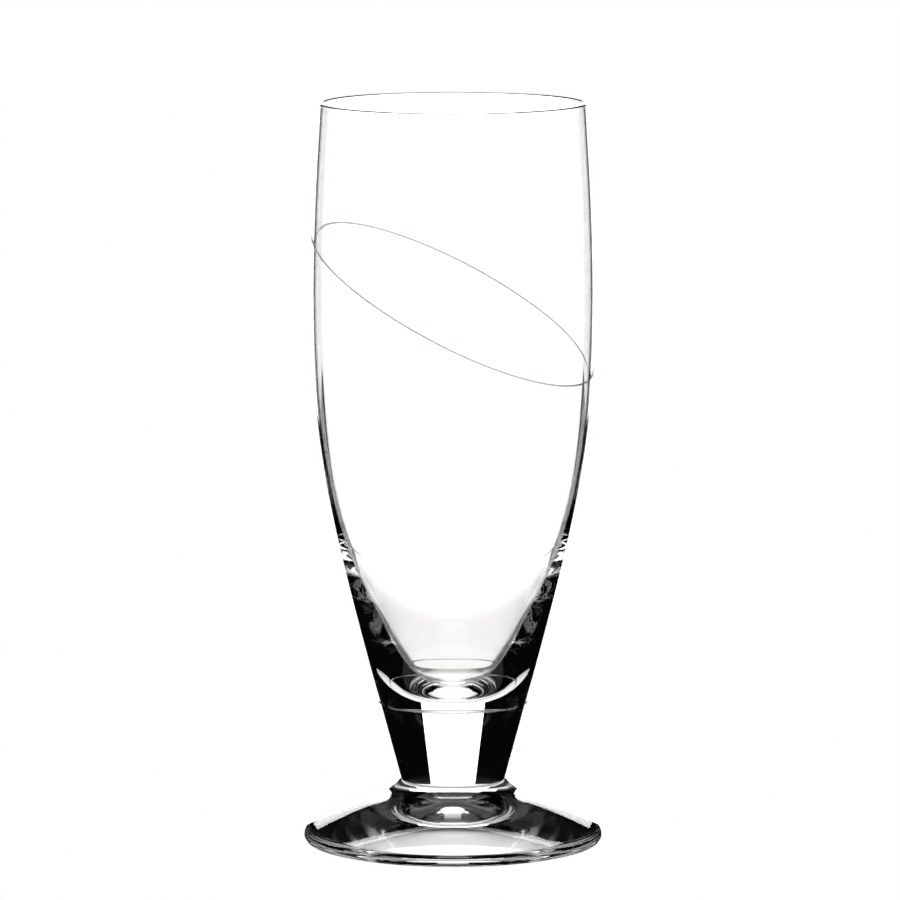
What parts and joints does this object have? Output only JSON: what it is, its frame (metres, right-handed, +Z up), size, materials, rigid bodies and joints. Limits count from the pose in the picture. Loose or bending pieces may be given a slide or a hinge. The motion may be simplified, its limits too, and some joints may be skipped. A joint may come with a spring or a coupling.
{
  "type": "iced beverage glass",
  "caption": "Tall clear glass with a tapered bowl on a short solid stem and a wide foot, with fine applied threads.",
  "frame": {"origin": "centre of the foot's resting plane", "axes": "+Z up along the glass's axis, -Y towards the viewer of the picture"},
  "size_m": [0.081, 0.081, 0.2],
  "materials": {
    "clear_glass": "fire-polished clear",
    "thread_glass": "fire-polished clear"
  },
  "bodies": {
    "root": {"bowl": "clear_glass", "stem": "clear_glass", "foot": "clear_glass", "bowl_thread": "thread_glass", "joint_thread": "thread_glass"}
  },
  "joints": []
}
